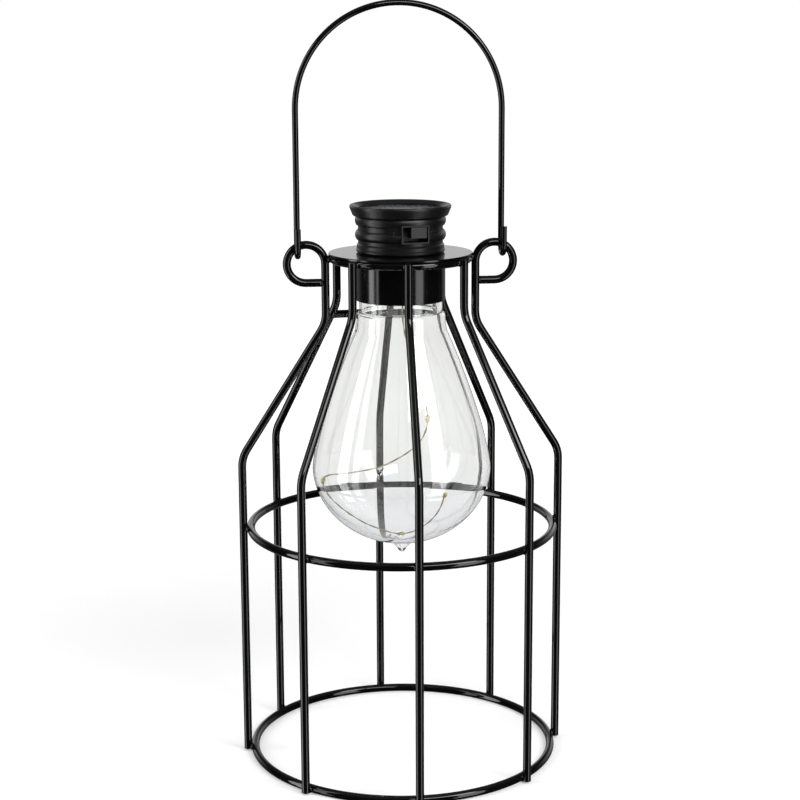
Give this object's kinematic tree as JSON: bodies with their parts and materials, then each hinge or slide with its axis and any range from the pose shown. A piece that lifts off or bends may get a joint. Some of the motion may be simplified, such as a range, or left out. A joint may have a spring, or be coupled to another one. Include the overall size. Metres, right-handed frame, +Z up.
{
  "type": "solar garden light",
  "caption": "Wire cage lantern with a bail handle, a hanging clear teardrop bulb with a light string inside, and a screw-in solar cap with a slide switch.",
  "frame": {"origin": "on the ground under the middle of the base ring", "axes": "+Z up; the two handle eyes lie on the X axis; the switch looks towards -Y"},
  "size_m": [0.162, 0.1619, 0.3737],
  "materials": {
    "black_paint": "gloss black paint over steel wire and sheet",
    "handle_paint": "gloss black paint over steel wire",
    "bulb_glass": "clear, smooth",
    "seal_rubber": "soft black",
    "cap_plastic": "fine-grained black",
    "rim_plastic": "fine-grained black",
    "panel_backing": "dark laminate",
    "cell_silicon": "dark blue silicon",
    "panel_resin": "clear resin",
    "lead_red": "red insulation",
    "board_laminate": "green lacquered laminate",
    "component_black": "black moulding",
    "switch_metal": "plated steel can",
    "lever_plastic": "black",
    "slider_plastic": "dark grey",
    "cell_sleeve": "green shrink sleeve",
    "contact_steel": "nickel-plated",
    "lead_black": "black insulation",
    "screw_steel": "zinc-plated",
    "grommet_rubber": "soft black",
    "string_copper": "lacquered copper twin wire",
    "bead_resin": "clear yellowish resin"
  },
  "bodies": {
    "cage": {"base_ring": "black_paint", "middle_ring": "black_paint", "top_ring": "black_paint", "top_disc": "black_paint", "neck_sleeve": "black_paint", "back_brace": "black_paint", "upright_front_left": "black_paint", "upright_front": "black_paint", "upright_front_right": "black_paint", "upright_back_right": "black_paint", "upright_back": "black_paint", "upright_back_left": "black_paint", "eye_upright_left": "black_paint", "eye_upright_right": "black_paint", "bulb": "bulb_glass"},
    "handle": {"bail_handle": "handle_paint"},
    "seal": {"cap_seal": "seal_rubber"},
    "solar_cap": {"cap_housing": "cap_plastic", "cap_rim": "rim_plastic", "solar_panel": "panel_backing", "solar_cells": "cell_silicon", "panel_cover": "panel_resin", "panel_leads": "lead_red", "circuit_board": "board_laminate", "board_components": "component_black", "switch_body": "switch_metal", "battery": "cell_sleeve", "battery_cradle": "cap_plastic", "battery_contacts": "contact_steel", "battery_leads": "lead_black", "base_cover": "cap_plastic", "cover_screws": "screw_steel", "string_grommet": "grommet_rubber", "string_leads": "string_copper", "led_string": "string_copper", "led_beads": "bead_resin"},
    "switch": {"switch_slider": "slider_plastic", "switch_lever": "lever_plastic"}
  },
  "joints": [
    {"name": "handle_swing", "type": "hinge", "parent": "cage", "child": "handle", "pos_m": [0, 0, 0.25682], "axis": [1, 0, 0], "range_deg": [-137, 141]},
    {"name": "cap_rise", "type": "slide", "parent": "cage", "child": "seal", "axis": [0, 0, 1], "range_m": [0, 0.0061]},
    {"name": "cap_turn", "type": "hinge", "parent": "seal", "child": "solar_cap", "pos_m": [0, 0, 0.2538], "axis": [0, 0, 1], "range_deg": [0, 720]},
    {"name": "switch_slide", "type": "slide", "parent": "solar_cap", "child": "switch", "axis": [0.9744, 0.225, 0], "range_m": [-0.0044, 0]}
  ],
  "couplings": [
    {"joint": "cap_rise", "follows": "cap_turn", "m_per_rad": 0.00047746}
  ]
}
